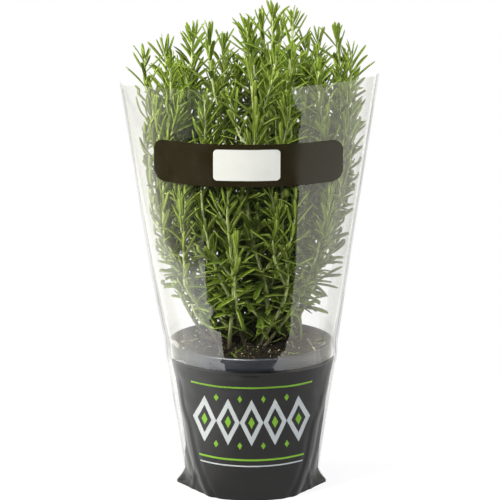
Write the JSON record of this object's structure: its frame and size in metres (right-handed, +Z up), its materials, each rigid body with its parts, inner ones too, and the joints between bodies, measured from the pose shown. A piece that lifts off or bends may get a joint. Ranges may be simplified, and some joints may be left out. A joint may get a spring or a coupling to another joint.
{
  "type": "potted rosemary plant",
  "caption": "Upright rosemary plant growing in a dark nursery pot, standing in a tapered clear film sleeve with a dark printed foot and a printed label band.",
  "frame": {"origin": "middle of the sleeve's underside, on the surface that the plant stands on", "axes": "+Z up along the plant, -Y towards the front panel of the sleeve with the label, +X to the right of someone who looks at that panel, along the line between the two side seams"},
  "size_m": [0.1828, 0.1216, 0.3529],
  "materials": {
    "printed_film": "gloss",
    "pot_plastic": "satin",
    "potting_soil": "matte",
    "rosemary": "satin"
  },
  "bodies": {
    "root": {"film_sleeve": "printed_film", "nursery_pot": "pot_plastic", "soil": "potting_soil", "sprig_01": "rosemary", "sprig_02": "rosemary", "sprig_03": "rosemary", "sprig_04": "rosemary", "sprig_05": "rosemary", "sprig_06": "rosemary", "sprig_07": "rosemary", "sprig_08": "rosemary", "sprig_09": "rosemary", "sprig_10": "rosemary", "sprig_11": "rosemary", "sprig_12": "rosemary", "sprig_13": "rosemary", "sprig_14": "rosemary", "sprig_15": "rosemary", "sprig_16": "rosemary", "sprig_17": "rosemary", "sprig_18": "rosemary", "sprig_19": "rosemary", "sprig_20": "rosemary", "sprig_21": "rosemary", "sprig_22": "rosemary", "sprig_23": "rosemary", "sprig_24": "rosemary", "sprig_25": "rosemary", "sprig_26": "rosemary", "sprig_27": "rosemary", "sprig_28": "rosemary"}
  },
  "joints": []
}
